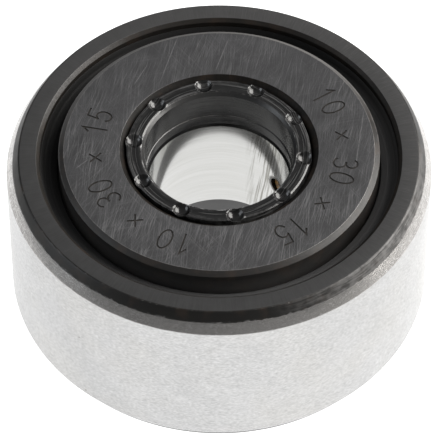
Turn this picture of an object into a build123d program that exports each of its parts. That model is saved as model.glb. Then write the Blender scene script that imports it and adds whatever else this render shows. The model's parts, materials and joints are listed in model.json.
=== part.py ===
from build123d import *
import os
from math import sqrt

# Yoke-type support roller: a thick-walled outer ring runs on a caged set of needle rollers round an
# inner ring. A flange ring is pressed and staked on each end of the inner ring, and a polymer sliding
# ring in each end of the outer ring runs against it. Millimetres, roller axis on +Z, and the origin
# is in the middle of the lower flange face. Both ends are the same.

# Boundary sizes
bore_r = 5.0
roller_r = 15.0
roller_width = 14.0
overall_width = 15.0
mid_z = overall_width / 2

# Outer ring
lead_in_drop = 0.45
lead_in_length = 0.75
rim_chamfer_width = 0.44
rim_chamfer_length = 0.75
counterbore_r = 12.63
counterbore_chamfer = 0.25
counterbore_depth = 2.7
outer_raceway_r = 9.02
raceway_chamfer = 0.2

# Flange rings
flange_r = 11.3
flange_thickness = 2.4
flange_edge_width = 0.38
flange_edge_depth = 0.28
flange_inner_edge = 0.15
seat_r = 6.6
seat_countersink = 0.4

# Inner ring
inner_raceway_r = 7.0
inner_raceway_edge = 0.15
end_recess = 0.08
mouth_r = 5.44
mouth_chamfer_length = 0.32
relief_r = 5.26
relief_depth = 2.4
relief_end_r = 5.18
relief_foot_r = 5.12
relief_foot_depth = 3.2
ground_bore_length = 8.2
lube_hole_r = 0.7
lube_hole_angle = 33.5

# Staking dents, and the metal that each one pushes into the flange ring's countersink
dent_count = 10
dent_angle = 28.5
dent_pitch_r = 6.05
dent_ball_r = 0.65
dent_r = 0.6
lobe_r = 0.72
lobe_foot_r = 0.5
lobe_height = 0.3

# Sliding rings
sliding_clearance = 0.05
sliding_inner_r = 9.25
sliding_rim_depth = 0.55
lip_r = 11.44
lip_ridge_r = 11.8
lip_ridge_depth = 1.2
lip_edge_depth = 1.42

# Needle rollers and cage
needle_count = 14
needle_r = 1.0
needle_length = 7.8
needle_edge = 0.2
needle_pitch_r = inner_raceway_r + needle_r + 0.01
cage_r = 8.85
cage_inner_r = 7.2
cage_sheet = 0.6
cage_width = 9.8
cage_shoulder_z = 2.9
cage_waist_z = 1.7
cage_bend_shift = 0.23
pocket_clearance = 0.04
pocket_end_clearance = 0.05
pocket_half_width = 0.9

os.makedirs("parts", exist_ok=True)


def save(piece, label):
    """Label a finished piece and write it as a STEP file of the same name."""
    piece.label = label
    export_step(piece, f"parts/{label}.step")
    print(f"{label}: {piece.volume:.2f} mm3, valid {piece.is_valid}")


def both_ends(upper_half):
    """The points of an (r, z) outline, from its upper half given from the outside round to the bore."""
    lower_half = [(r, overall_width - z) for r, z in reversed(upper_half)]
    return upper_half + lower_half


# Outer ring: runway, ground lead-in, chamfer of nearly the same slope, flat end, chamfered
# counterbore, shoulder and raceway
outer_end_z = mid_z + roller_width / 2
shoulder_z = outer_end_z - counterbore_depth
rim_foot_z = outer_end_z - rim_chamfer_length
runway_end_z = rim_foot_z - lead_in_length
rim_foot_r = roller_r - lead_in_drop
outer_half = [
    (roller_r, runway_end_z),
    (rim_foot_r, rim_foot_z),
    (rim_foot_r - rim_chamfer_width, outer_end_z),
    (counterbore_r + counterbore_chamfer, outer_end_z),
    (counterbore_r, outer_end_z - counterbore_chamfer),
    (counterbore_r, shoulder_z),
    (outer_raceway_r + raceway_chamfer, shoulder_z),
    (outer_raceway_r, shoulder_z - raceway_chamfer),
]
with BuildPart() as outer_ring:
    with BuildSketch(Plane.XZ):
        with BuildLine():
            Polyline(*both_ends(outer_half), close=True)
        make_face()
    revolve(axis=Axis.Z)
save(outer_ring.part, "outer_ring")
print(f"runway length: {2 * (runway_end_z - mid_z):.2f} mm")

# Inner ring: raceway between two narrower seats, and a bore that is relieved towards both ends
inner_end_z = overall_width - end_recess
flange_inner_z = overall_width - flange_thickness
inner_half = [
    (inner_raceway_r, flange_inner_z - inner_raceway_edge),
    (inner_raceway_r - inner_raceway_edge, flange_inner_z),
    (seat_r, flange_inner_z),
    (seat_r, inner_end_z),
    (mouth_r, inner_end_z),
    (relief_r, inner_end_z - mouth_chamfer_length),
    (relief_r, overall_width - relief_depth),
    (relief_end_r, overall_width - relief_depth),
    (relief_foot_r, overall_width - relief_foot_depth),
    (bore_r, mid_z + ground_bore_length / 2),
]
dent_centre_z = inner_end_z + sqrt(dent_ball_r**2 - dent_r**2)
lube_hole_plane = Plane(
    origin=(0, 0, mid_z),
    z_dir=Vector(1, 0, 0).rotate(Axis.Z, lube_hole_angle),
)
with BuildPart() as inner_ring:
    with BuildSketch(Plane.XZ):
        with BuildLine():
            Polyline(*both_ends(inner_half), close=True)
        make_face()
    revolve(axis=Axis.Z)
    with BuildSketch(lube_hole_plane):
        Circle(lube_hole_r)
    extrude(amount=roller_r, mode=Mode.SUBTRACT)
    with PolarLocations(dent_pitch_r, dent_count, start_angle=dent_angle):
        with Locations((0, 0, inner_end_z - lobe_height)):
            Cone(lobe_foot_r, lobe_r, lobe_height, align=(Align.CENTER, Align.CENTER, Align.MIN))
        with Locations((0, 0, overall_width - inner_end_z)):
            Cone(lobe_r, lobe_foot_r, lobe_height, align=(Align.CENTER, Align.CENTER, Align.MIN))
        with Locations((0, 0, dent_centre_z), (0, 0, overall_width - dent_centre_z)):
            Sphere(dent_ball_r, mode=Mode.SUBTRACT)
save(inner_ring.part, "inner_ring")

# Flange rings: flat discs with a chamfered rim, and a countersink that the inner ring is staked into
with BuildPart() as flange_ring_top:
    with BuildSketch(Plane.XZ):
        with BuildLine():
            Polyline(
                (seat_r, flange_inner_z),
                (flange_r - flange_inner_edge, flange_inner_z),
                (flange_r, flange_inner_z + flange_inner_edge),
                (flange_r, overall_width - flange_edge_depth),
                (flange_r - flange_edge_width, overall_width),
                (seat_r + seat_countersink, overall_width),
                (seat_r, overall_width - seat_countersink),
                close=True,
            )
        make_face()
    revolve(axis=Axis.Z)
save(flange_ring_top.part, "flange_ring_top")

with BuildPart() as flange_ring_bottom:
    mirror(flange_ring_top.part, about=Plane.XY.offset(mid_z))
save(flange_ring_bottom.part, "flange_ring_bottom")

# Sliding rings: a sleeve held in the counterbore, with a lip beside the flange ring's rim, and a thin
# leg between the outer ring's shoulder and the flange ring
leg_top_z = flange_inner_z - sliding_clearance
with BuildPart() as sliding_ring_top:
    with BuildSketch(Plane.XZ):
        with BuildLine():
            Polyline(
                (counterbore_r, shoulder_z),
                (counterbore_r, outer_end_z - sliding_rim_depth),
                (lip_ridge_r, outer_end_z - lip_ridge_depth),
                (lip_r, outer_end_z - lip_edge_depth),
                (lip_r, leg_top_z),
                (sliding_inner_r, leg_top_z),
                (sliding_inner_r, shoulder_z),
                close=True,
            )
        make_face()
    revolve(axis=Axis.Z)
save(sliding_ring_top.part, "sliding_ring_top")

with BuildPart() as sliding_ring_bottom:
    mirror(sliding_ring_top.part, about=Plane.XY.offset(mid_z))
save(sliding_ring_bottom.part, "sliding_ring_bottom")

# Needle cage: bent from sheet to an M section, low at its waist and high at its shoulders, with an
# inward flange at each end. A pocket is a round seat that grips the roller past its middle.
cage_end_z = mid_z + cage_width / 2
cage_half = [
    (cage_inner_r + cage_sheet, mid_z + cage_waist_z),
    (cage_r, mid_z + cage_shoulder_z),
    (cage_r, cage_end_z),
    (cage_inner_r, cage_end_z),
    (cage_inner_r, cage_end_z - cage_sheet),
    (cage_r - cage_sheet, cage_end_z - cage_sheet),
    (cage_r - cage_sheet, mid_z + cage_shoulder_z + cage_bend_shift),
    (cage_inner_r, mid_z + cage_waist_z + cage_bend_shift),
]
pocket_length = needle_length + 2 * pocket_end_clearance
with BuildPart() as needle_cage:
    with BuildSketch(Plane.XZ):
        with BuildLine():
            Polyline(*both_ends(cage_half), close=True)
        make_face()
    revolve(axis=Axis.Z)
    with PolarLocations(needle_pitch_r, needle_count):
        with Locations((0, 0, mid_z)):
            Cylinder(needle_r + pocket_clearance, pocket_length, mode=Mode.SUBTRACT)
            Box(3 * needle_r, 2 * pocket_half_width, pocket_length, mode=Mode.SUBTRACT)
save(needle_cage.part, "needle_cage")

# Needle rollers, one in each pocket, numbered from +X towards +Y
with PolarLocations(needle_pitch_r, needle_count) as needle_ring:
    needle_places = list(needle_ring.locations)
for number, place in enumerate(needle_places, start=1):
    with BuildPart() as needle_roller:
        with Locations(place * Location((0, 0, mid_z))):
            Cylinder(needle_r, needle_length)
        fillet(needle_roller.edges().filter_by(GeomType.CIRCLE), needle_edge)
    save(needle_roller.part, f"needle_roller_{number:02d}")
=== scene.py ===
import json
from math import acos, atan2, cos, exp, hypot, pi, radians, sin, sqrt, tan

import bpy
from mathutils import Matrix, Vector


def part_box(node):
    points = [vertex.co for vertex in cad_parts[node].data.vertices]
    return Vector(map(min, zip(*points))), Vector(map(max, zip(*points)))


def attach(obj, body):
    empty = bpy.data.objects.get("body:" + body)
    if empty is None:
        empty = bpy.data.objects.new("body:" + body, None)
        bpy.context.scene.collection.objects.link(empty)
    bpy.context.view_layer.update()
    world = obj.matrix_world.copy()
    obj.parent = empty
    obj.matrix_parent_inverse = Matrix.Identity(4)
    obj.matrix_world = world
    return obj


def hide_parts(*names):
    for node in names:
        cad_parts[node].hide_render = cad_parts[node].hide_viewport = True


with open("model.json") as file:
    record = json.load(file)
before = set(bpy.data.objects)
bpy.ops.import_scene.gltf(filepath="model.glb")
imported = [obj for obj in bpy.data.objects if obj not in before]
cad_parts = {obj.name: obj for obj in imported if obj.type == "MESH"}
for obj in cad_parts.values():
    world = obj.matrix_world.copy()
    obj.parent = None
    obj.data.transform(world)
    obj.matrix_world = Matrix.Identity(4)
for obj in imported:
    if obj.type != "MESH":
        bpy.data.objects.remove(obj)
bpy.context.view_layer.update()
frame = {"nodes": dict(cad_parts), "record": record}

# Looks of a yoke-type support roller. Sizes are in millimetres and become metres in the meshes. Both
# ends of the roller are alike, so each outline gives the upper half and is mirrored about mid_z.

MM = 0.001


def box_mm(node):
    """Outer radius, lowest and highest z of a CAD node, in millimetres."""
    low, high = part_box(node)
    return high.x / MM, low.z / MM, high.z / MM


def mount_radius(name):
    """The radius of one of the record's round mounts."""
    return next(m for m in frame["record"]["mounts"] if m["name"] == name)["dims"]["r_mm"]


# Sizes that the frame gives
roller_r, _, outer_end_z = box_mm("outer_ring")
flange_r, flange_inner_z, overall_width = box_mm("flange_ring_top")
inner_raceway_r, _, inner_end_z = box_mm("inner_ring")
counterbore_r, shoulder_z, sliding_top_z = box_mm("sliding_ring_top")
bore_r = mount_radius("shaft_bore")
mid_z = overall_width / 2

# Outer ring
end_face_r = 14.11
rim_foot_r = 14.55
rim_foot_z = 13.75
runway_end_z = 13.0
counterbore_chamfer = 0.25
outer_raceway_r = 9.02
raceway_chamfer = 0.2

# Flange rings
flange_edge_width = 0.38
flange_edge_depth = 0.28
flange_inner_edge = 0.15
seat_r = 6.6
countersink_r = 7.0

# Inner ring
inner_raceway_edge = 0.15
land_r = 6.42
land_drop = 0.16
land_lean = 0.12
land_lean_angle = radians(140)
mouth_r = 5.44
relief_r = 5.26
relief_top_z = 14.6
relief_end_r = 5.18
relief_foot_z = 12.6
taper_foot_r = 5.12
taper_foot_z = 11.8
ground_end_z = 11.6
dent_count = 10
dent_angle = radians(28.5)
dent_pitch_r = 6.05
dent_ball_r = 0.65
dent_r = 0.6
lobe_height = 0.16
lobe_spread = 0.42
lube_hole_r = 0.7
lube_hole_angle = radians(33.5)

# Sliding rings
lip_r = 11.44
lip_ridge_r = 11.86
lip_ridge_z = 13.3
lip_edge_drop = 0.22
sliding_inner_r = 9.25
sliding_clearance = 0.05

# Size figures on the upper flange: bore, diameter and width, twice
figures = "10 x 30 x 15"
figure_places = (radians(34), radians(-106))
figure_foot_r = 8.1
figure_height = 1.7
figure_width = 0.95
figure_pitch = 1.34
stroke_width = 0.125
stroke_depth = 0.05

# Steps round the turned pieces
outer_ring_segments = 1200
flange_segments = 900
sliding_ring_segments = 720
inner_ring_segments = 640


# ---------------------------------------------------------------- meshes

def rounded(corners, steps=4):
    """A closed (r, z) outline whose corners (r, z, radius) are replaced by arcs of that radius."""
    outline = []
    count = len(corners)
    for i, (r, z, radius) in enumerate(corners):
        here = Vector((r, z))
        to_last = (Vector(corners[i - 1][:2]) - here).normalized()
        to_next = (Vector(corners[(i + 1) % count][:2]) - here).normalized()
        half = acos(max(-1.0, min(1.0, to_last.dot(to_next)))) / 2
        if radius == 0:
            outline.append((r, z))
            continue
        centre = here + (to_last + to_next).normalized() * (radius / sin(half))
        first = here + to_last * (radius / tan(half)) - centre
        turn = (pi - 2 * half) * (1 if to_last.cross(to_next) < 0 else -1)
        for k in range(steps + 1):
            spoke = Matrix.Rotation(turn * k / steps, 2) @ first
            outline.append(tuple(centre + spoke))
    return outline


def both_ends(upper_half):
    """A whole outline from the corners of its upper half, given from the outside round to the bore."""
    lower_half = [(r, overall_width - z, radius) for r, z, radius in reversed(upper_half)]
    return upper_half + lower_half


def divided(outline, step_at):
    """The outline with its long edges cut into steps of step_at(r, z) at most."""
    points = []
    for (r0, z0), (r1, z1) in zip(outline, outline[1:] + outline[:1]):
        length = hypot(r1 - r0, z1 - z0)
        parts = max(1, round(length / step_at((r0 + r1) / 2, (z0 + z1) / 2)))
        points += [(r0 + (r1 - r0) * k / parts, z0 + (z1 - z0) * k / parts) for k in range(parts)]
    return points


def new_piece(name, points, faces):
    """A mesh object from points in millimetres."""
    mesh = bpy.data.meshes.new(name)
    mesh.from_pydata([tuple(c * MM for c in p) for p in points], [], faces)
    piece = bpy.data.objects.new(name, mesh)
    bpy.context.scene.collection.objects.link(piece)
    return piece


def lathe(name, outline, segments, materials, zone=lambda r, z: 0, shape=lambda x, y, z: (x, y, z)):
    """A ring turned from an (r, z) outline. zone gives a face's material number from its middle, and
    shape moves each point."""
    turns = [2 * pi * k / segments for k in range(segments)]
    points = [shape(r * cos(a), r * sin(a), z) for r, z in outline for a in turns]
    faces, zones = [], []
    for i, (r, z) in enumerate(outline):
        j = (i + 1) % len(outline)
        number = zone((r + outline[j][0]) / 2, (z + outline[j][1]) / 2)
        for k in range(segments):
            n = (k + 1) % segments
            faces.append((i * segments + k, i * segments + n, j * segments + n, j * segments + k))
            zones.append(number)
    piece = new_piece(name, points, faces)
    piece.data.polygons.foreach_set("material_index", zones)
    for material in materials:
        piece.data.materials.append(material)
    return piece


def apply_modifiers(piece):
    """Replace a piece's mesh by the result of its modifiers."""
    graph = bpy.context.evaluated_depsgraph_get()
    mesh = bpy.data.meshes.new_from_object(piece.evaluated_get(graph), depsgraph=graph)
    piece.modifiers.clear()
    piece.data = mesh


def cut_away(piece, cutter):
    """Take a cutter's shape out of a piece, with the cutter's material on the cut, and drop the cutter.
    A cut always adds faces, so a failed one stops the script."""
    cut = piece.modifiers.new("cut", "BOOLEAN")
    cut.object = cutter
    cut.operation = "DIFFERENCE"
    cut.material_mode = "TRANSFER"
    faces_before = len(piece.data.polygons)
    apply_modifiers(piece)
    assert len(piece.data.polygons) > faces_before, piece.name + " was lost in a cut"
    bpy.data.objects.remove(cutter)


def smooth(piece, sharp_angle=40):
    """Smooth shading with face-weighted normals, so that flats stay flat beside small round edges."""
    piece.data.polygons.foreach_set("use_smooth", [True] * len(piece.data.polygons))
    piece.data.set_sharp_from_angle(angle=radians(sharp_angle))
    weighted = piece.modifiers.new("flat_faces", "WEIGHTED_NORMAL")
    weighted.keep_sharp = True
    apply_modifiers(piece)


def turned_over(piece, name):
    """A copy of a ring from the upper end, turned over onto the lower end."""
    mesh = piece.data.copy()
    mesh.name = name
    mesh.transform(Matrix.Translation((0, 0, overall_width * MM)) @ Matrix.Rotation(pi, 4, "X"))
    copy = bpy.data.objects.new(name, mesh)
    bpy.context.scene.collection.objects.link(copy)
    return copy


def place(piece, body, slot, *nodes):
    """Ride on a body and stand for CAD nodes, which are hidden. slot is not used."""
    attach(piece, body)
    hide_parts(*nodes)


# ---------------------------------------------------------------- materials

class Graph:
    """One material's nodes. Values are sockets or plain numbers, and lengths are in millimetres."""

    def __init__(self, name):
        self.material = bpy.data.materials.new(name)
        self.material.use_nodes = True
        self.tree = self.material.node_tree
        self.surface = self.tree.nodes["Principled BSDF"]
        here = self.tree.nodes.new("ShaderNodeTexCoord")
        self.point = self.vector("SCALE", here.outputs["Object"], scale=1 / MM)
        self.x, self.y, self.z = self.split(self.point)
        self.r = self.math("SQRT", self.add(self.math("POWER", self.x, 2), self.math("POWER", self.y, 2)))
        self.way = (self.math("DIVIDE", self.x, self.r), self.math("DIVIDE", self.y, self.r))
        self.high = self.math("ABSOLUTE", self.math("SUBTRACT", self.z, mid_z))

    def put(self, socket, value):
        """Link a socket to a value, or set it."""
        if isinstance(value, bpy.types.NodeSocket):
            self.tree.links.new(value, socket)
        elif isinstance(value, tuple) and len(value) == 3 and socket.type == "RGBA":
            socket.default_value = (*value, 1.0)
        else:
            socket.default_value = value

    def math(self, operation, *values):
        node = self.tree.nodes.new("ShaderNodeMath")
        node.operation = operation
        for socket, value in zip(node.inputs, values):
            self.put(socket, value)
        return node.outputs[0]

    def chain(self, operation, values):
        """The first value with each of the others in turn."""
        result = values[0]
        for value in values[1:]:
            result = self.math(operation, result, value)
        return result

    def add(self, *values):
        return self.chain("ADD", values)

    def times(self, *values):
        return self.chain("MULTIPLY", values)

    def most(self, *values):
        return self.chain("MAXIMUM", values)

    def vector(self, operation, *values, scale=None):
        node = self.tree.nodes.new("ShaderNodeVectorMath")
        node.operation = operation
        for socket, value in zip(node.inputs, values):
            self.put(socket, value)
        if scale is not None:
            self.put(node.inputs["Scale"], scale)
        return node.outputs[0]

    def split(self, vector):
        node = self.tree.nodes.new("ShaderNodeSeparateXYZ")
        self.put(node.inputs[0], vector)
        return node.outputs[0], node.outputs[1], node.outputs[2]

    def join(self, x, y, z):
        node = self.tree.nodes.new("ShaderNodeCombineXYZ")
        for socket, value in zip(node.inputs, (x, y, z)):
            self.put(socket, value)
        return node.outputs[0]

    def noise(self, vector, scale=1.0, detail=3.0, seed=0.0):
        """Noise from 0 to 1. seed moves it to another part of the pattern."""
        node = self.tree.nodes.new("ShaderNodeTexNoise")
        moved = self.vector("ADD", vector, (seed * 17.3, seed * 5.7, seed * 11.9)) if seed else vector
        self.put(node.inputs["Vector"], moved)
        self.put(node.inputs["Scale"], scale)
        self.put(node.inputs["Detail"], detail)
        self.put(node.inputs["Roughness"], 0.55)
        return node.outputs["Fac"]

    def spread(self, value, low, high, to_low=0.0, to_high=1.0):
        """Value from low..high onto to_low..to_high, held at the ends."""
        node = self.tree.nodes.new("ShaderNodeMapRange")
        for socket, number in zip(node.inputs, (value, low, high, to_low, to_high)):
            self.put(socket, number)
        return node.outputs[0]

    def mix(self, share, one, other):
        """Colour one where share is 0, and other where it is 1."""
        node = self.tree.nodes.new("ShaderNodeMix")
        node.data_type = "RGBA"
        self.put(node.inputs[0], share)
        self.put(node.inputs[6], one)
        self.put(node.inputs[7], other)
        return node.outputs[2]

    def shade(self, share, colour, low=0.8, high=1.2):
        """A colour from low to high times its strength."""
        return self.mix(share, tuple(c * low for c in colour), tuple(c * high for c in colour))

    def specks(self, spacing, size, share=0.25, seed=0.0):
        """Small round specks: 1 on a speck and 0 elsewhere. Only a share of the cells holds one."""
        node = self.tree.nodes.new("ShaderNodeTexVoronoi")
        self.put(node.inputs["Vector"], self.vector("ADD", self.point, (seed * 3.1, seed * 7.7, seed * 1.3)))
        self.put(node.inputs["Scale"], 1 / spacing)
        near = self.spread(node.outputs["Distance"], size / spacing * 0.6, size / spacing, 1.0, 0.0)
        chosen = self.math("GREATER_THAN", self.split(node.outputs["Color"])[0], 1 - share)
        return self.times(near, chosen)

    def wall_streaks(self, long, short, seed=0.0, detail=3.0):
        """Streaks round a cylinder's wall."""
        stretched = self.vector("MULTIPLY", self.point, (1 / long, 1 / long, 1 / short))
        return self.noise(stretched, seed=seed, detail=detail)

    def ring_streaks(self, radius, long, short, seed=0.0, detail=3.0):
        """Concentric streaks on an end face, near a radius."""
        spoke = [self.times(w, radius / long) for w in self.way]
        return self.noise(self.join(*spoke, self.times(self.r, 1 / short)), seed=seed, detail=detail)

    def spoke_streaks(self, radius, long, short, seed=0.0, detail=3.0):
        """Radial streaks on an end face, near a radius."""
        spoke = [self.times(w, radius / short) for w in self.way]
        return self.noise(self.join(*spoke, self.times(self.r, 1 / long)), seed=seed, detail=detail)

    def across(self, angle, x=0.0, y=0.0):
        """Distances from a point on an end face, along a direction and square to it."""
        dx, dy = self.math("SUBTRACT", self.x, x), self.math("SUBTRACT", self.y, y)
        c, s = cos(radians(angle)), sin(radians(angle))
        along = self.add(self.times(dx, c), self.times(dy, s))
        return along, self.math("SUBTRACT", self.times(dy, c), self.times(dx, s))

    def straight_streaks(self, angle, long, short, seed=0.0, detail=3.0):
        """Straight streaks across an end face, in one direction."""
        along, square = self.across(angle)
        stretched = self.join(self.times(along, 1 / long), self.times(square, 1 / short), 0.0)
        return self.noise(stretched, seed=seed, detail=detail)

    def scratch(self, x, y, angle, length, width=0.06):
        """One long scratch with its middle at (x, y), fading towards its ends."""
        along, square = (self.math("ABSOLUTE", d) for d in self.across(angle, x, y))
        return self.times(
            self.spread(square, width * 0.35, width * 0.65, 1.0, 0.0),
            self.spread(along, length * 0.3, length * 0.5, 1.0, 0.0),
            self.spread(self.noise(self.point, scale=3.0), 0.3, 0.6, 0.35, 1.0),
        )

    def side(self, azimuth, start=90, full=30):
        """1 within full degrees of an azimuth, and 0 beyond start degrees of it."""
        towards = self.add(*[self.times(w, f(radians(azimuth))) for w, f in zip(self.way, (cos, sin))])
        return self.spread(towards, cos(radians(start)), cos(radians(full)))

    def near_edge(self, edge_r, edge_z, width, ragged=3.2, seed=0.0):
        """1 on a turned edge, out to a ragged width. The same edge at the other end counts too."""
        dr = self.math("SUBTRACT", self.r, edge_r)
        dz = self.math("SUBTRACT", self.high, edge_z - mid_z)
        distance = self.math("SQRT", self.add(self.math("POWER", dr, 2), self.math("POWER", dz, 2)))
        chips = self.spread(self.noise(self.point, scale=ragged, detail=4.0, seed=seed), 0.35, 0.7, 0.0, 1.0)
        reach = self.add(self.times(chips, width), 0.004)
        return self.spread(self.math("DIVIDE", distance, reach), 0.6, 1.2, 1.0, 0.0)

    def bump(self, height, depth, after=None):
        """A normal from a height of 0 to 1, which stands for depth millimetres."""
        node = self.tree.nodes.new("ShaderNodeBump")
        self.put(node.inputs["Height"], height)
        self.put(node.inputs["Distance"], depth * MM)
        self.put(node.inputs["Strength"], 1.0)
        if after is not None:
            self.put(node.inputs["Normal"], after)
        return node.outputs[0]

    def finish(self, colour, roughness, normal, metallic=0.0, ior=1.5, specular=0.5):
        self.put(self.surface.inputs["Base Color"], colour)
        self.put(self.surface.inputs["Roughness"], roughness)
        self.put(self.surface.inputs["Metallic"], metallic)
        self.put(self.surface.inputs["Normal"], normal)
        self.surface.inputs["IOR"].default_value = ior
        self.surface.inputs["Specular IOR Level"].default_value = specular
        return self.material


BARE_STEEL = (0.36, 0.35, 0.34)
# Grey for rub wear on oxide, also used for painted light and painted reflections on it
RUB_AND_PAINTED_LIGHT_GREY = (0.105, 0.103, 0.102)
RUST_BROWN = (0.030, 0.020, 0.014)


def ground_steel(name, tone, long=0.24, short=0.085, specks=1.0, roughness=(0.42, 0.28)):
    """Bright steel ground round and round: short fine streaks, a faint blotchy tone and a few specks."""
    g = Graph(name)
    fine = g.wall_streaks(long, short, detail=3.0)
    broad = g.wall_streaks(long * 5, short * 4, seed=1.0)
    patches = g.noise(g.point, scale=0.25, seed=2.0)
    light = g.add(g.times(fine, 0.72), g.times(broad, 0.14), g.times(patches, 0.14))
    colour = g.mix(g.spread(light, 0.35, 0.65), (tone * 0.80,) * 3, (tone * 1.16,) * 3)
    warmth = g.spread(g.noise(g.point, scale=0.16, seed=3.0), 0.42, 0.62, 0.0, 1.0)
    colour = g.vector("MULTIPLY", colour, g.mix(warmth, (1.0, 1.0, 1.0), (1.0, 0.993, 0.978)))
    speck = g.times(g.specks(1.5, 0.07, seed=4.0), specks)
    colour = g.mix(speck, colour, (0.12, 0.10, 0.075))
    rough = g.spread(light, 0.3, 0.7, *roughness)
    return g.finish(colour, rough, g.bump(fine, 0.0022, g.bump(broad, 0.003)), metallic=1.0)


def bore_wall(name, tone):
    """The ground bore: fine rings from the grinding wheel, and dark slanting streaks on one side,
    a painted reflection.
    """
    g = Graph(name)
    rings = g.wall_streaks(4.0, 0.12, detail=4.0)
    wide_rings = g.wall_streaks(8.0, 0.5, seed=1.0)
    slant = g.add(g.z, g.times(g.math("ARCTAN2", g.y, g.x), bore_r * 7.0))
    marks = g.noise(g.join(g.times(slant, 0.9), g.times(g.z, 0.25), 0.0), detail=2.0, seed=2.0)
    # Painted reflection: dark slanting streaks on one side of the bore
    painted_dark_reflection = g.times(g.spread(marks, 0.46, 0.60), g.side(44, 24, 6))
    light = g.add(g.times(rings, 0.5), g.times(wide_rings, 0.5))
    darker = (tone * 0.95, tone * 0.95, tone * 0.92)
    lighter = (tone * 1.04, tone * 1.04, tone * 1.02)
    colour = g.mix(g.spread(light, 0.35, 0.65), darker, lighter)
    colour = g.mix(g.times(painted_dark_reflection, 0.7), colour, (0.12, 0.115, 0.09))
    hole = (bore_r * cos(lube_hole_angle), bore_r * sin(lube_hole_angle), mid_z)
    apart = [g.math("SUBTRACT", here, there) for here, there in zip((g.x, g.y, g.z), hole)]
    away = g.math("SQRT", g.add(*[g.math("POWER", distance, 2) for distance in apart]))
    ragged = g.add(away, g.times(g.noise(g.point, scale=4.0, seed=3.0), 0.2))
    stained = g.spread(ragged, lube_hole_r + 0.2, lube_hole_r + 0.38, 1.0, 0.0)
    colour = g.mix(stained, colour, (0.05, 0.042, 0.03))
    rough = g.spread(light, 0.3, 0.7, 0.14, 0.10)
    metal = g.math("SUBTRACT", 1.0, g.times(stained, 0.8))
    return g.finish(colour, rough, g.bump(rings, 0.0007, g.bump(wide_rings, 0.0015)), metallic=metal)


def oxide(name, colour, roughness, streaks, rub_or_painted_light=None, bare=None, brown=0.0, shine=0.5, depth=0.0022):
    """Black oxide over a machined surface. streaks(g) gives the tool's marks, the next function the grey
    share, which is rub wear on some pieces and painted light on others, and bare(g) the share of bare metal."""
    g = Graph(name)
    mottle = g.noise(g.point, scale=1.1, detail=5.0)
    grain = g.noise(g.point, scale=16.0, detail=2.0, seed=5.0)
    marks = streaks(g)
    tone = g.spread(g.add(g.times(mottle, 0.35), g.times(grain, 0.25), g.times(marks, 0.4)), 0.38, 0.62)
    shade = g.shade(tone, colour, 0.7, 1.3)
    if brown:
        stain = g.times(g.spread(g.noise(g.point, scale=0.8, detail=5.0, seed=6.0), 0.5, 0.7), brown)
        shade = g.mix(stain, shade, RUST_BROWN)
    if rub_or_painted_light:
        # Grey where the oxide is worn by rubbing, and where light or a reflection is painted on it
        shade = g.mix(rub_or_painted_light(g), shade, RUB_AND_PAINTED_LIGHT_GREY)
    metal = bare(g) if bare else 0.0
    if bare:
        shade = g.mix(metal, shade, BARE_STEEL)
    rough = g.spread(tone, 0.0, 1.0, roughness[1], roughness[0])
    normal = g.bump(marks, depth, g.bump(grain, 0.0012))
    return g.finish(shade, rough, normal, metallic=metal, specular=shine)


def stoned_face(name):
    """A flange ring's face: black oxide rubbed by a stone, mostly in one direction."""
    g = Graph(name)
    mottle = g.noise(g.point, scale=0.9, detail=5.0)
    grain = g.noise(g.point, scale=14.0, detail=2.0, seed=5.0)
    rubs = ((75, 1.0), (82, 1.0), (88, 0.9), (68, 0.7), (48, 0.4), (128, 0.4), (12, 0.3))
    lines = []
    height = []
    front = g.spread(g.times(g.way[1], -1.0), -0.6, 0.9, 0.7, 1.25)
    for i, (angle, strength) in enumerate(rubs):
        fine = g.straight_streaks(angle, 5.0, 0.075, seed=10.0 + i, detail=1.0)
        patch = g.spread(g.noise(g.point, scale=0.6, seed=20.0 + i), 0.35, 0.65)
        lines.append(g.times(g.spread(fine, 0.54, 0.80), patch, front, strength))
        height.append(fine)
    long_scratches = (
        (-3.5, 8.7, 74, 4.6), (0.2, 8.8, 73, 3.4), (9.9, 1.0, 82, 6.4), (8.7, 5.8, 68, 1.6),
        (-9.6, -1.4, 44, 1.3), (-5.6, 6.9, 64, 2.2), (4.4, -8.9, 81, 2.8),
    )
    deep = g.most(*[g.scratch(*s) for s in long_scratches])
    rub_or_painted_light = g.math("MINIMUM", g.add(*lines, g.times(deep, 0.9)), 1.0)
    tone = g.spread(g.add(g.times(mottle, 0.6), g.times(grain, 0.4)), 0.38, 0.62)
    colour = g.shade(tone, (0.0235, 0.0235, 0.0250), 0.72, 1.28)
    colour = g.mix(g.times(rub_or_painted_light, 0.7), colour, (0.125, 0.125, 0.128))
    rough = g.math("SUBTRACT", g.spread(tone, 0.0, 1.0, 0.44, 0.38), g.times(rub_or_painted_light, 0.05))
    worn = g.times(g.near_edge(flange_r - flange_edge_width, overall_width, 0.04), 0.2)
    colour = g.mix(worn, colour, BARE_STEEL)
    return g.finish(colour, rough, g.bump(g.add(*height), 0.0013), metallic=worn, ior=1.5)


def polymer_skin(name):
    """Black moulded polymer with a fine grain and faint flow rings, painted lighter on one side:
    painted light in the shaded gap.
    """
    g = Graph(name)
    grain = g.noise(g.point, scale=18.0, detail=3.0)
    rings = g.ring_streaks(12.0, 12.0, 0.12, seed=1.0)
    colour = g.shade(g.add(g.times(grain, 0.5), g.times(rings, 0.5)), (0.014, 0.014, 0.014), 0.7, 1.3)
    # Painted light: the seal is painted lighter towards the front right, where the gap lies in shade
    painted_light_on_seal = g.times(g.side(-60, 125, 75), g.spread(rings, 0.3, 0.7, 0.6, 1.0))
    colour = g.mix(painted_light_on_seal, colour, (0.070, 0.070, 0.071))
    rough = g.spread(grain, 0.3, 0.7, 0.45, 0.58)
    return g.finish(colour, rough, g.bump(grain, 0.0012), ior=1.4, specular=0.12)


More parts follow.
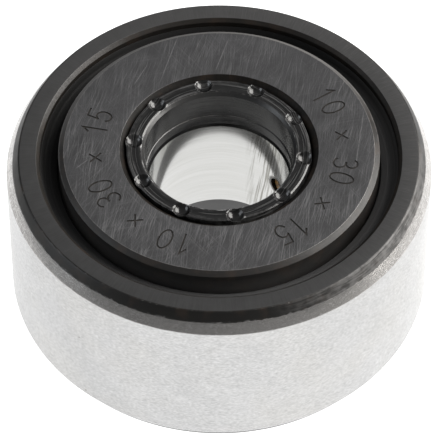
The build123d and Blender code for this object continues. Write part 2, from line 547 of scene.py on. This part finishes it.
def facet(name, colour, metallic):
    """The ring's lead-in, ground like the runway but duller."""
    g = Graph(name)
    fine = g.wall_streaks(1.2, 0.05)
    mottle = g.noise(g.point, scale=1.3, detail=4.0, seed=1.0)
    nicks = g.noise(g.vector("MULTIPLY", g.point, (6.0, 6.0, 1.2)), detail=1.0, seed=2.0)
    light = g.add(g.times(fine, 0.4), g.times(mottle, 0.4), g.times(nicks, 0.2))
    shade = g.shade(g.spread(light, 0.38, 0.62), colour, 0.72, 1.28)
    share = g.spread(light, 0.3, 0.7, metallic * 0.7, metallic)
    scuffs = g.near_edge(rim_foot_r, rim_foot_z, 0.45, ragged=1.2, seed=5.0)
    rub = g.times(scuffs, g.spread(mottle, 0.42, 0.58))
    flecks = g.noise(g.vector("MULTIPLY", g.point, (5.0, 5.0, 9.0)), detail=3.0, seed=8.0)
    ticks = g.spread(flecks, 0.56, 0.70)
    shade = g.mix(g.times(rub, g.spread(nicks, 0.35, 0.65, 0.2, 0.8), 0.5), shade, (0.2, 0.2, 0.2))
    shade = g.mix(g.times(ticks, 0.7), shade, (0.62, 0.62, 0.62))
    patchy = g.spread(g.noise(g.point, scale=0.5, seed=7.0), 0.45, 0.6)
    worn = g.times(g.near_edge(rim_foot_r, rim_foot_z, 0.09, ragged=4.0), patchy, 0.65)
    shade = g.mix(worn, shade, BARE_STEEL)
    rough = g.spread(light, 0.3, 0.7, 0.27, 0.19)
    return g.finish(shade, rough, g.bump(fine, 0.002, g.bump(nicks, 0.003)), metallic=g.most(share, worn))


def land_skin(name):
    """The inner ring's end: dark and glossy, in turned rings of lighter and darker tone, painted lighter near
    its edges as a painted sheen, with a painted highlight along the mouth's front edge.
    """
    g = Graph(name)
    streaks = g.ring_streaks(6.0, 5.0, 0.10, detail=3.0)
    lumps = g.noise(g.point, scale=2.2, detail=4.0, seed=1.0)
    outer = g.spread(g.r, 6.1, 6.32)
    inner = g.spread(g.r, 5.75, 5.55, 0.0, 0.45)
    # Painted sheen: lighter near the land's outer and inner edges, where its curve catches the light
    painted_edge_sheen = g.most(outer, inner)
    tone = g.times(painted_edge_sheen, g.spread(g.add(g.times(streaks, 0.6), g.times(lumps, 0.4)), 0.38, 0.60))
    colour = g.mix(tone, (0.002, 0.002, 0.002), (0.030, 0.030, 0.030))
    line = g.times(g.spread(streaks, 0.56, 0.63), 0.7)
    colour = g.mix(line, colour, (0.07, 0.07, 0.07))
    worn = g.times(g.near_edge(mouth_r, inner_end_z, 0.06, ragged=2.0), 0.25)
    colour = g.mix(worn, colour, BARE_STEEL)
    # Painted highlight: a light grey line along the front of the mouth's edge
    painted_rim_highlight = g.near_edge(mouth_r + 0.02, inner_end_z - 0.02, 0.05, ragged=1.5, seed=3.0)
    colour = g.mix(g.times(painted_rim_highlight, g.side(-90, 150, 80), 0.8), colour, (0.32, 0.32, 0.32))
    rough = g.spread(lumps, 0.3, 0.7, 0.14, 0.26)
    normal = g.bump(streaks, 0.010, g.bump(lumps, 0.01))
    return g.finish(colour, rough, normal, metallic=worn)


def grease_skin(name):
    """Amber grease, darker where it is thick."""
    g = Graph(name)
    lumps = g.noise(g.point, scale=3.0, detail=3.0)
    colour = g.mix(g.spread(lumps, 0.35, 0.65), (0.06, 0.032, 0.01), (0.5, 0.26, 0.05))
    return g.finish(colour, g.spread(lumps, 0.3, 0.7, 0.25, 0.4), g.bump(lumps, 0.05))


def end_face_marks(g):
    return g.spoke_streaks(13.5, 1.6, 0.09, seed=1.0)


def end_face_rub_and_painted_light(g):
    """Painted light: the back of the ring's end is painted a little lighter than its front, and rub
    streaks are painted lighter on its right side, where the light falls.
    """
    lines = g.spread(g.spoke_streaks(13.5, 1.1, 0.05, seed=2.0), 0.52, 0.72)
    return g.add(g.times(g.side(65, 150, 25), 0.10), g.times(lines, g.side(20, 100, 30), 0.26))


def chamfer_rub(g):
    """Rubbed on one side of the ring, in streaks and patches, with rows of nicks along the foot."""
    streaks = g.wall_streaks(1.6, 0.07, seed=8.0, detail=4.0)
    patches = g.noise(g.point, scale=1.6, detail=5.0, seed=9.0)
    rub_or_painted_light = g.spread(g.add(g.times(streaks, 0.55), g.times(patches, 0.45)), 0.42, 0.58, 0.08, 1.0)
    nicks = g.near_edge(rim_foot_r - 0.03, rim_foot_z + 0.04, 0.15, ragged=5.0, seed=11.0)
    rows = g.spread(g.noise(g.point, scale=0.6, seed=12.0), 0.48, 0.58)
    return g.most(g.times(rub_or_painted_light, g.side(-32, 44, 16), 0.8), g.times(nicks, rows, 0.95))


def chamfer_bare(g):
    """Knocks along the chamfer's two edges, and a few on it."""
    foot = g.near_edge(rim_foot_r, rim_foot_z, 0.09, ragged=4.0)
    inner = g.near_edge(end_face_r, outer_end_z, 0.05, seed=3.0)
    patchy = g.spread(g.noise(g.point, scale=0.5, seed=7.0), 0.42, 0.6, 0.2, 1.0)
    edges = g.times(g.most(g.times(foot, 0.5), g.times(inner, 0.25)), patchy)
    return g.most(edges, g.times(g.specks(0.9, 0.09, 0.2, seed=6.0), 0.5))


def wall_painted_light(g):
    """Painted light: the counterbore's chamfer is painted lighter on one side, where the key light
    catches it, in small ticks.
    """
    ticks = g.spread(g.noise(g.point, scale=7.0, detail=3.0, seed=7.0), 0.35, 0.65, 0.5, 1.3)
    foot = outer_end_z - counterbore_chamfer - mid_z
    return g.times(g.side(146, 26, 10), ticks, g.spread(g.high, foot - 0.03, foot + 0.01), 0.5)


def flange_rub_and_painted_light(g):
    """The flange's chamfer has faint rub streaks at the right front and a painted reflection along the back;
    its side is painted lighter down into the gap at the front left, painted light in the shade there.
    """
    streaks = g.spread(g.noise(g.point, scale=6.0, detail=5.0, seed=8.0), 0.40, 0.60, 0.3, 1.0)
    foot = overall_width - flange_edge_depth - mid_z
    on_chamfer = g.spread(g.high, foot - 0.04, foot - 0.01)
    # Faint rub streaks at the right front, and a painted reflection along the back of the chamfer
    rub_or_painted_light = g.most(g.times(streaks, g.side(-20, 32, 14), 0.08), g.times(g.side(98, 84, 50), 0.9))
    # Painted light on the side, in the shaded gap at the front left
    painted_light_on_side = g.times(g.side(245, 80, 40), g.spread(g.high, foot - 0.3, foot - 1.5, 0.07, 0.45))
    return g.most(g.times(rub_or_painted_light, on_chamfer), painted_light_on_side)


def relief_marks(g):
    """Turning rings, with broad lighter and darker bands along the axis."""
    bands = g.noise(g.vector("MULTIPLY", g.point, (0.55, 0.55, 0.05)), detail=1.0, seed=4.0)
    return g.add(g.times(g.wall_streaks(2.5, 0.12), 0.45), g.times(g.spread(bands, 0.35, 0.65), 0.55))


def relief_lighter_and_painted_reflection(g):
    """Painted reflection: the back of the upper relief is painted lighter in rings. The lower relief is
    lighter all round.
    """
    rings = g.spread(g.wall_streaks(3.0, 0.16, seed=13.0, detail=2.0), 0.38, 0.60, 0.2, 1.0)
    patches = g.spread(g.noise(g.point, scale=0.5, seed=14.0), 0.35, 0.6, 0.4, 1.0)
    # Painted reflection on the back of the upper relief
    upper = g.times(rings, patches, g.side(80, 46, 16), 0.34)
    lower = g.spread(g.z, mid_z, mid_z - 2.0, 0.0, 0.6)
    return g.most(upper, lower)


def relief_bare(g):
    return g.times(g.near_edge(relief_end_r, relief_foot_z, 0.06, ragged=1.2), g.side(90, 60, 20), 0.4)


def flange_bare(g):
    """A faint bare line along each of the two edges of the flange's chamfer."""
    foot = overall_width - flange_edge_depth
    line = g.near_edge(flange_r - 0.03, foot + 0.02, 0.16, ragged=1.5, seed=2.0)
    top = g.near_edge(flange_r - flange_edge_width, overall_width, 0.04)
    return g.most(g.times(line, g.side(100, 108, 80), 0.15), g.times(top, 0.12))


ring_steel = ground_steel("ground_steel", 0.47)
needle_steel = ground_steel("needle_steel", 0.5, long=0.8, short=0.05, specks=0.0, roughness=(0.2, 0.12))
cage_steel = ground_steel("cage_steel", 0.4, long=0.6, short=0.3, specks=0.0, roughness=(0.42, 0.34))
bore_steel = bore_wall("bore_steel", 0.53)
# The end face's oxide carries painted light: lighter at the back and on the right side
end_oxide = oxide("end_face_oxide", (0.020, 0.020, 0.0203), (0.36, 0.44), end_face_marks, end_face_rub_and_painted_light)
chamfer_oxide = oxide(
    "chamfer_oxide", (0.006, 0.0058, 0.0053), (0.36, 0.48), lambda g: g.wall_streaks(1.5, 0.06),
    chamfer_rub, chamfer_bare, brown=0.5, shine=0.30,
)
# The counterbore's chamfer carries painted light on its left back side
wall_oxide = oxide(
    "counterbore_oxide", (0.012, 0.0107, 0.0094), (0.46, 0.58), lambda g: g.wall_streaks(1.5, 0.1),
    wall_painted_light, brown=0.4, shine=0.16,
)
upper_lead_in = facet("upper_lead_in", (0.40, 0.39, 0.38), 0.97)
# The lower lead-in is a darker copy of the upper one: painted shade, since both ends are alike
lower_lead_in_painted_shade = facet("lower_lead_in_painted_shade", (0.20, 0.20, 0.20), 0.9)
polymer = polymer_skin("black_polymer")
flange_face = stoned_face("stoned_oxide")
# The flange's side carries a painted reflection and painted light, besides rub streaks
flange_side = oxide(
    "flange_oxide", (0.010, 0.0092, 0.0085), (0.36, 0.46), lambda g: g.wall_streaks(1.5, 0.1),
    flange_rub_and_painted_light, flange_bare, brown=0.6, shine=0.26,
)
sink_oxide = oxide(
    "countersink_oxide", (0.008, 0.0072, 0.0065), (0.48, 0.60), lambda g: g.spoke_streaks(6.8, 0.8, 0.12),
    brown=0.6, shine=0.08,
)
land_oxide = land_skin("land_oxide")
mouth_oxide = oxide(
    "mouth_oxide", (0.020, 0.020, 0.020), (0.25, 0.38), lambda g: g.spoke_streaks(5.4, 1.0, 0.05), depth=0.004
)
relief_oxide = oxide(
    "relief_oxide", (0.009, 0.009, 0.0095), (0.14, 0.26), relief_marks, relief_lighter_and_painted_reflection, relief_bare, depth=0.003
)
engraved = oxide("engraved_oxide", (0.011, 0.0088, 0.0066), (0.5, 0.6), lambda g: g.noise(g.point, scale=9.0))
grease = grease_skin("grease")


# ---------------------------------------------------------------- pieces

def outer_zone(r, z):
    """0 is ground bright, 1 the end face, 2 the chamfer, 3 the lead-in, 4 the lower lead-in, which is painted
    darker as painted shade, and 5 the counterbore with its own chamfer."""
    high = abs(z - mid_z)
    if r > roller_r - 0.02 and high < runway_end_z - mid_z or r < outer_raceway_r + 0.1:
        return 0
    if r < counterbore_r + counterbore_chamfer - 0.01:
        return 5
    if high < rim_foot_z - mid_z:
        return 3 if z > mid_z else 4
    return 1 if high > outer_end_z - mid_z - 0.01 else 2


outer_outline = rounded(
    both_ends(
        [
            (roller_r, runway_end_z, 0.3),
            (rim_foot_r, rim_foot_z, 0),
            (end_face_r, outer_end_z, 0.22),
            (counterbore_r + counterbore_chamfer, outer_end_z, 0.04),
            (counterbore_r, outer_end_z - counterbore_chamfer, 0.04),
            (counterbore_r, shoulder_z, 0.08),
            (outer_raceway_r + raceway_chamfer, shoulder_z, 0.04),
            (outer_raceway_r, shoulder_z - raceway_chamfer, 0.04),
        ]
    )
)
outer_ring = lathe(
    "outer_ring_body", outer_outline, outer_ring_segments,
    [ring_steel, end_oxide, chamfer_oxide, upper_lead_in, lower_lead_in_painted_shade, wall_oxide], outer_zone,
)
smooth(outer_ring)
place(outer_ring, "outer_assembly", "outer_ring_steel", "outer_ring")


def flange_zone(r, z):
    """0 is the flat face, 1 the side and 2 the countersink."""
    if z > overall_width - 0.01:
        return 0
    return 2 if r < countersink_r + 0.01 else 1


flange_outline = rounded(
    [
        (seat_r, flange_inner_z, 0.03),
        (flange_r - flange_inner_edge, flange_inner_z, 0.04),
        (flange_r, flange_inner_z + flange_inner_edge, 0.04),
        (flange_r, overall_width - flange_edge_depth, 0.04),
        (flange_r - flange_edge_width, overall_width, 0.05),
        (countersink_r, overall_width, 0.04),
        (seat_r, overall_width - (countersink_r - seat_r), 0.03),
    ]
)
flange_top = lathe(
    "flange_ring_top_body", flange_outline, flange_segments,
    [flange_face, flange_side, sink_oxide], flange_zone,
)
flange_bottom = turned_over(flange_top, "flange_ring_bottom_body")


def arc(x, y, half_width, half_height, start, end, steps=14):
    """Points on an ellipse, from one angle to another in degrees."""
    turns = [radians(start + (end - start) * k / steps) for k in range(steps + 1)]
    return [(x + half_width * cos(a), y + half_height * sin(a)) for a in turns]


# One or two strokes for each figure, in a box 1 wide and 1 high
STROKES = {
    " ": [],
    "0": [arc(0.5, 0.5, 0.46, 0.5, 0, 350, 24)],
    "1": [[(0.22, 0.76), (0.56, 1.0), (0.56, 0.0)]],
    "3": [arc(0.46, 0.76, 0.40, 0.24, 150, -100), arc(0.46, 0.26, 0.44, 0.26, 100, -150)],
    "5": [[(0.86, 1.0), (0.2, 1.0), (0.12, 0.54)], arc(0.46, 0.32, 0.44, 0.32, 140, -150)],
    "x": [[(0.14, 0.14), (0.86, 0.58)], [(0.14, 0.58), (0.86, 0.14)]],
}


def stroke_prism(path, points, faces):
    """Add a closed prism along a path on the flange's face, deep enough to cut the stroke."""
    start = len(points)
    last = len(path) - 1
    for i, here in enumerate(path):
        before = (here - path[i - 1]).normalized() if i else (path[1] - here).normalized()
        after = (path[i + 1] - here).normalized() if i < last else before
        ahead = (before + after).normalized()
        end = ahead * (stroke_width / 2) * ((i == last) - (i == 0))
        side = Vector((-ahead.y, ahead.x)) * (stroke_width / 2 / ahead.dot(before))
        for corner in (here + end + side, here + end - side):
            points.append((*corner, overall_width - stroke_depth))
            points.append((*corner, overall_width + 0.2))
    for i in range(start, len(points) - 4, 4):
        for a, b in ((0, 1), (1, 3), (3, 2), (2, 0)):
            faces.append((i + b, i + 4 + b, i + 4 + a, i + a))
    far = len(points) - 4
    faces.append((start + 2, start + 3, start + 1, start))
    faces.append((far + 1, far + 3, far + 2, far))


def figure_cutter(number):
    """Prisms for one stroke of every figure. They read clockwise, with their tops outwards."""
    points, faces = [], []
    for first in figure_places:
        for i, figure in enumerate(figures):
            turn = first - i * figure_pitch / (figure_foot_r + figure_height / 2)
            out, along = Vector((cos(turn), sin(turn))), Vector((sin(turn), -cos(turn)))
            for stroke in STROKES[figure][number:number + 1]:
                path = []
                for x, y in stroke:
                    foot = along * (x - 0.5) * figure_width
                    path.append(out * (figure_foot_r + y * figure_height) + foot)
                stroke_prism(path, points, faces)
    cutter = new_piece("figure_cutter", points, faces)
    cutter.data.materials.append(engraved)
    return cutter


cut_away(flange_top, figure_cutter(0))
cut_away(flange_top, figure_cutter(1))
smooth(flange_top)
smooth(flange_bottom)
place(flange_top, "inner_assembly", "flange_steel", "flange_ring_top")
place(flange_bottom, "inner_assembly", "flange_steel", "flange_ring_bottom")

sliding_outline = rounded(
    [
        (counterbore_r, shoulder_z, 0.03),
        (counterbore_r, sliding_top_z, 0.03),
        (lip_ridge_r + 0.5, lip_ridge_z + 0.1, 0.3),
        (lip_ridge_r, lip_ridge_z, 0.07),
        (lip_r, lip_ridge_z - lip_edge_drop, 0.05),
        (lip_r, flange_inner_z - sliding_clearance, 0.03),
        (sliding_inner_r, flange_inner_z - sliding_clearance, 0.1),
        (sliding_inner_r, shoulder_z, 0.1),
    ]
)
sliding_top = lathe("sliding_ring_top_body", sliding_outline, sliding_ring_segments, [polymer])
smooth(sliding_top)
sliding_bottom = turned_over(sliding_top, "sliding_ring_bottom_body")
place(sliding_top, "outer_assembly", "black_polymer", "sliding_ring_top")
place(sliding_bottom, "outer_assembly", "black_polymer", "sliding_ring_bottom")


def staked(x, y, z):
    """Moves a point of the inner ring's ends: the dents are pressed in as parts of a ball, and each one
    pushes the metal up round it and out beyond the land's edge. The land leans out a little at the
    back left."""
    high = abs(z - mid_z) + mid_z
    below = inner_end_z - high
    if below > 0.6:
        return x, y, z
    r, turn = hypot(x, y), atan2(y, x)
    pitch = 2 * pi / dent_count
    off = (turn - dent_angle + pitch / 2) % pitch - pitch / 2
    lobe = lobe_height * exp(-((off * dent_pitch_r / lobe_spread) ** 2))
    lean = land_lean * max(0.0, cos(turn - land_lean_angle))
    r += (lobe + lean) * max(0.0, min(1.0, (r - 5.9) / 0.5)) * max(0.0, 1 - below / 0.45)
    across = hypot(r * cos(off) - dent_pitch_r, r * sin(off))
    ball_z = inner_end_z + sqrt(dent_ball_r**2 - dent_r**2)
    if across < dent_ball_r:
        high = min(high, ball_z - sqrt(dent_ball_r**2 - across**2))
    if below < 0.1:
        high += 0.03 * exp(-(((across - dent_r - 0.05) / 0.06) ** 2))
    z = high if z > mid_z else overall_width - high
    return r * cos(turn), r * sin(turn), z


def inner_step(r, z):
    return 0.06 if abs(z - mid_z) > inner_end_z - mid_z - 0.4 else 5.0


def inner_zone(r, z):
    """0 is the ground bore, 1 the land, 2 the mouth, 3 the relief and 4 the raceway."""
    high = abs(z - mid_z) + mid_z
    if high < ground_end_z and r < bore_r + 0.02:
        return 0
    if high < flange_inner_z and r > inner_raceway_r - 0.02:
        return 4
    if r > mouth_r:
        return 1
    return 2 if high > relief_top_z else 3


inner_half = [
    (inner_raceway_r, flange_inner_z - inner_raceway_edge, 0.03),
    (inner_raceway_r - inner_raceway_edge, flange_inner_z, 0.03),
    (seat_r - 0.1, flange_inner_z, 0),
    (land_r + 0.1, inner_end_z - land_drop - 0.3, 0),
    (land_r, inner_end_z - 0.06, 0.05),
    (land_r - 0.12, inner_end_z, 0.08),
    (5.9, inner_end_z - 0.03, 0.3),
    (mouth_r + 0.12, inner_end_z, 0.08),
    (mouth_r, inner_end_z - 0.06, 0.05),
    (relief_r, relief_top_z, 0.03),
    (relief_end_r, relief_foot_z, 0.0),
    (taper_foot_r, relief_foot_z - 0.03, 0.02),
    (taper_foot_r, taper_foot_z, 0.03),
    (bore_r, ground_end_z, 0.03),
]
inner_ring = lathe(
    "inner_ring_body", divided(rounded(both_ends(inner_half)), inner_step), inner_ring_segments,
    [bore_steel, land_oxide, mouth_oxide, relief_oxide, ring_steel], inner_zone, staked,
)


def across_bore(name, angle, radius, start, end, dome=0.0, segments=48):
    """A rod that points out of the bore's axis at mid height. dome rounds its inner end."""
    axis = Matrix.Rotation(angle, 3, "Z")
    middle = Vector((0, 0, mid_z))
    circles = [(radius * 0.6, start - dome * 0.8), (radius, start), (radius, end)]
    points, faces = [], []
    for r, out in circles:
        for k in range(segments):
            a = 2 * pi * k / segments
            points.append(axis @ Vector((out, r * cos(a), r * sin(a))) + middle)
    for i in range(len(circles) - 1):
        for k in range(segments):
            n = (k + 1) % segments
            faces.append((i * segments + k, i * segments + n, (i + 1) * segments + n, (i + 1) * segments + k))
    points.append(axis @ Vector((start - dome, 0, 0)) + middle)
    faces += [(len(points) - 1, (k + 1) % segments, k) for k in range(segments)]
    last = (len(circles) - 1) * segments
    faces.append(tuple(last + k for k in range(segments)))
    return new_piece(name, points, faces)


drill = across_bore("lube_drill", lube_hole_angle, lube_hole_r, 3.0, 9.0)
drill.data.materials.append(relief_oxide)
cut_away(inner_ring, drill)
smooth(inner_ring)
place(inner_ring, "inner_assembly", "inner_ring_steel", "inner_ring")

plug = across_bore("lubrication_hole_grease", lube_hole_angle, lube_hole_r * 0.98, 5.3, 6.8, dome=0.2)
plug.data.materials.append(grease)
smooth(plug)
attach(plug, "inner_assembly")

inside = {"needle_cage": cage_steel, **{f"needle_roller_{i:02d}": needle_steel for i in range(1, 15)}}
for node, material in inside.items():
    frame["nodes"][node].data.materials.clear()
    frame["nodes"][node].data.materials.append(material)


# ---------------------------------------------------------------- stage

def softbox(name, direction, distance, size, radiance, colour):
    """A square light aimed at the roller. radiance is what a mirror would show of it."""
    light = bpy.data.lights.new(name, "AREA")
    light.shape = "SQUARE"
    light.size = size
    light.energy = radiance * pi * size**2
    light.color = colour
    lamp = bpy.data.objects.new(name, light)
    towards = Vector(direction).normalized()
    lamp.location = Vector((0, 0, mid_z * MM)) + towards * distance
    lamp.rotation_euler = (-towards).to_track_quat("-Z", "Y").to_euler()
    bpy.context.scene.collection.objects.link(lamp)


softbox("key_right", (0.85, 0.15, 0.5), 0.5, 0.5, 10.0, (1.0, 0.975, 0.94))
softbox("left_fill", (-0.91, -0.13, 0.37), 0.6, 0.34, 3.2, (0.9, 0.95, 1.0))

# The roller stands on the middle of a white light table, so the floor glows near it and shows hardly
# any shadow. The glow fades further out, where only the roller's slopes mirror it.
far, floor_z = 2000, -0.02
corners = [(-far, -far, floor_z), (far, -far, floor_z), (far, far, floor_z), (-far, far, floor_z)]
floor = new_piece("floor", corners, [(0, 1, 2, 3)])
paper = bpy.data.materials.new("light_table")
paper.use_nodes = True
sheet = paper.node_tree.nodes["Principled BSDF"].inputs
sheet["Base Color"].default_value = (0.14, 0.14, 0.14, 1)
sheet["Roughness"].default_value = 0.9
sheet["Specular IOR Level"].default_value = 0.0
sheet["Emission Color"].default_value = (1, 1, 1, 1)
table = paper.node_tree
spot = table.nodes.new("ShaderNodeTexCoord")
distance = table.nodes.new("ShaderNodeVectorMath")
distance.operation = "LENGTH"
glow = table.nodes.new("ShaderNodeMapRange")
glow.interpolation_type = "SMOOTHSTEP"
glow.inputs["From Min"].default_value = 45 * MM
glow.inputs["From Max"].default_value = 125 * MM
glow.inputs["To Min"].default_value = 1.32
glow.inputs["To Max"].default_value = 0.12
table.links.new(spot.outputs["Object"], distance.inputs[0])
table.links.new(distance.outputs["Value"], glow.inputs["Value"])
table.links.new(glow.outputs[0], sheet["Emission Strength"])
floor.data.materials.append(paper)

# The room is bright overhead and behind the roller, and dim on the camera's side
world = bpy.data.worlds.new("studio")
world.use_nodes = True
sky = world.node_tree
direction = sky.nodes.new("ShaderNodeTexCoord")
towards_back = sky.nodes.new("ShaderNodeVectorMath")
towards_back.operation = "DOT_PRODUCT"
towards_back.inputs[1].default_value = (0.0, 0.74, 0.67)
brightness = sky.nodes.new("ShaderNodeMapRange")
brightness.interpolation_type = "SMOOTHSTEP"
brightness.inputs["From Min"].default_value = -0.1
brightness.inputs["From Max"].default_value = 0.75
brightness.inputs["To Min"].default_value = 0.18
brightness.inputs["To Max"].default_value = 0.40
sky.links.new(direction.outputs["Generated"], towards_back.inputs[0])
sky.links.new(towards_back.outputs["Value"], brightness.inputs["Value"])
sky.links.new(brightness.outputs[0], sky.nodes["Background"].inputs["Strength"])
sky.nodes["Background"].inputs["Color"].default_value = (1, 1, 1, 1)
bpy.context.scene.world = world
bpy.context.scene.view_settings.view_transform = "Standard"

# The camera looks down at the front, and its long lens stands for a close product shot
camera_data = bpy.data.cameras.new("camera")
camera_data.lens = 313.7
camera_data.sensor_width = 36
camera_data.clip_start = 0.01
camera = bpy.data.objects.new("camera", camera_data)
camera.location = (0.03 * MM, -175.71 * MM, 221.94 * MM)
camera.rotation_euler = (radians(39.25), 0, 0)
bpy.context.scene.collection.objects.link(camera)
bpy.context.scene.camera = camera
